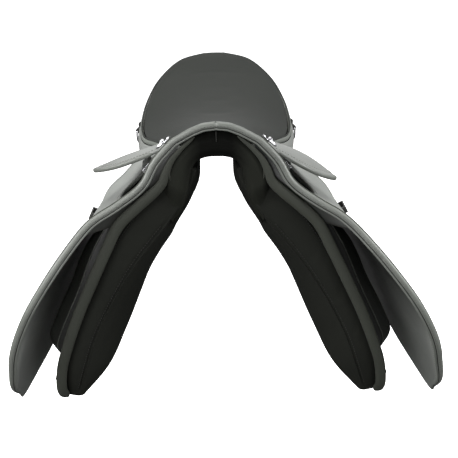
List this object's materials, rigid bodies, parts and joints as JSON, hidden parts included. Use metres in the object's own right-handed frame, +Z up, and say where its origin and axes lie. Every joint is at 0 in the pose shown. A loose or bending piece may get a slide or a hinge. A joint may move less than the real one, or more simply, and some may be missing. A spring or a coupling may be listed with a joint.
{
  "type": "english saddle",
  "caption": "General-purpose english saddle in black synthetic: padded seat, lifting flaps and skirts, panels, swinging girth straps, stirrup bars and dee rings.",
  "frame": {"origin": "on the middle plane, at the level where the panels meet the horse's back half way along the saddle, at mount horse_back", "axes": "+X to the rider's left, -Y to the front (pommel), +Z up; node names say the rider's left and right"},
  "size_m": [0.679, 0.4914, 0.5087],
  "materials": {
    "seat_skin": "matte suede-like synthetic seat cover",
    "foam": "open-cell foam",
    "tree_polymer": "moulded black polymer",
    "head_steel": "zinc-plated steel",
    "flap_skin": "fine-grained synthetic leather, satin",
    "skirt_skin": "fine-grained synthetic leather, satin",
    "binding": "edge binding and piping, satin",
    "panel_skin": "matte brushed synthetic",
    "border_skin": "matte synthetic, slightly greenish grey",
    "under_skin": "smooth black synthetic leather",
    "strap_skin": "black synthetic strap",
    "webbing": "woven webbing",
    "chrome": "polished chrome plate"
  },
  "bodies": {
    "saddle": {"tree_shell": "tree_polymer", "tree_head": "tree_polymer", "gullet_plate": "head_steel", "gullet_screws": "head_steel", "seat_foam": "foam", "seat_cover": "seat_skin", "seat_welt": "binding", "cantle_back": "panel_skin", "head_binding": "binding", "front_facing": "panel_skin", "panel_left": "panel_skin", "panel_right": "panel_skin", "panel_border_left": "border_skin", "panel_border_right": "border_skin", "sweat_flap_left": "under_skin", "sweat_flap_right": "under_skin", "knee_block_left": "under_skin", "knee_block_right": "under_skin", "seat_side_left": "skirt_skin", "seat_side_right": "skirt_skin", "flap_top_left": "flap_skin", "flap_top_right": "flap_skin", "strap_web_left": "webbing", "strap_web_right": "webbing", "stirrup_bar_left": "chrome", "stirrup_bar_right": "chrome", "bar_rivets_left": "chrome", "bar_rivets_right": "chrome", "catch_pin_left": "chrome", "catch_pin_right": "chrome", "front_loop_left": "chrome", "front_loop_right": "chrome", "rear_loop_left": "webbing", "rear_loop_right": "webbing"},
    "flap_left_body": {"flap_left": "flap_skin", "leather_keeper_left": "strap_skin"},
    "flap_right_body": {"flap_right": "flap_skin", "leather_keeper_right": "strap_skin"},
    "skirt_left_body": {"skirt_left": "skirt_skin"},
    "skirt_right_body": {"skirt_right": "skirt_skin"},
    "front_strap_left_body": {"front_strap_left": "strap_skin"},
    "front_strap_right_body": {"front_strap_right": "strap_skin"},
    "middle_strap_left_body": {"middle_strap_left": "strap_skin"},
    "middle_strap_right_body": {"middle_strap_right": "strap_skin"},
    "rear_strap_left_body": {"rear_strap_left": "strap_skin"},
    "rear_strap_right_body": {"rear_strap_right": "strap_skin"},
    "catch_left_body": {"bar_catch_left": "chrome"},
    "catch_right_body": {"bar_catch_right": "chrome"},
    "front_dee_left_body": {"front_dee_left": "chrome"},
    "front_dee_right_body": {"front_dee_right": "chrome"},
    "rear_dee_left_body": {"rear_dee_left": "chrome"},
    "rear_dee_right_body": {"rear_dee_right": "chrome"}
  },
  "joints": [
    {"name": "flap_lift_left", "type": "hinge", "parent": "saddle", "child": "flap_left_body", "pos_m": [0.18881, -0.09156, -0.01139], "axis": [0.0042, -0.9907, 0.1359], "range_deg": [0, 78]},
    {"name": "skirt_lift_left", "type": "hinge", "parent": "saddle", "child": "skirt_left_body", "pos_m": [0.069, -0.184, 0.112], "axis": [-0.1304, -0.9638, 0.2324], "range_deg": [0, 70]},
    {"name": "front_strap_swing_left", "type": "hinge", "parent": "saddle", "child": "front_strap_left_body", "pos_m": [0.172, -0.092, -0.022], "axis": [0, -1, 0], "range_deg": [0, 3]},
    {"name": "middle_strap_swing_left", "type": "hinge", "parent": "saddle", "child": "middle_strap_left_body", "pos_m": [0.172, -0.058, -0.022], "axis": [0, -1, 0], "range_deg": [0, 3]},
    {"name": "rear_strap_swing_left", "type": "hinge", "parent": "saddle", "child": "rear_strap_left_body", "pos_m": [0.172, -0.024, -0.022], "axis": [0, -1, 0], "range_deg": [0, 3]},
    {"name": "bar_catch_turn_left", "type": "hinge", "parent": "saddle", "child": "catch_left_body", "pos_m": [0.10706, -0.11625, 0.07328], "axis": [-0.6641, 0.1219, 0.7376], "range_deg": [0, 50]},
    {"name": "front_dee_swing_left", "type": "hinge", "parent": "saddle", "child": "front_dee_left_body", "pos_m": [0.077, -0.196, 0.121], "axis": [0, -1, 0], "range_deg": [0, 100]},
    {"name": "rear_dee_swing_left", "type": "hinge", "parent": "saddle", "child": "rear_dee_left_body", "pos_m": [0.142, 0.132, 0.062], "axis": [0.1045, -0.9945, 0], "range_deg": [0, 90]},
    {"name": "flap_lift_right", "type": "hinge", "parent": "saddle", "child": "flap_right_body", "pos_m": [-0.18881, -0.09156, -0.01139], "axis": [0.0042, 0.9907, -0.1359], "range_deg": [0, 80]},
    {"name": "skirt_lift_right", "type": "hinge", "parent": "saddle", "child": "skirt_right_body", "pos_m": [-0.069, -0.184, 0.112], "axis": [-0.1304, 0.9638, -0.2324], "range_deg": [0, 63]},
    {"name": "front_strap_swing_right", "type": "hinge", "parent": "saddle", "child": "front_strap_right_body", "pos_m": [-0.172, -0.092, -0.022], "axis": [0, 1, 0], "range_deg": [0, 3]},
    {"name": "middle_strap_swing_right", "type": "hinge", "parent": "saddle", "child": "middle_strap_right_body", "pos_m": [-0.172, -0.058, -0.022], "axis": [0, 1, 0], "range_deg": [0, 3]},
    {"name": "rear_strap_swing_right", "type": "hinge", "parent": "saddle", "child": "rear_strap_right_body", "pos_m": [-0.172, -0.024, -0.022], "axis": [0, 1, 0], "range_deg": [0, 3]},
    {"name": "bar_catch_turn_right", "type": "hinge", "parent": "saddle", "child": "catch_right_body", "pos_m": [-0.10706, -0.11625, 0.07328], "axis": [-0.6641, -0.1219, -0.7376], "range_deg": [0, 50]},
    {"name": "front_dee_swing_right", "type": "hinge", "parent": "saddle", "child": "front_dee_right_body", "pos_m": [-0.077, -0.196, 0.121], "axis": [0, 1, 0], "range_deg": [0, 100]},
    {"name": "rear_dee_swing_right", "type": "hinge", "parent": "saddle", "child": "rear_dee_right_body", "pos_m": [-0.142, 0.132, 0.062], "axis": [0.1045, 0.9945, 0], "range_deg": [0, 90]}
  ]
}
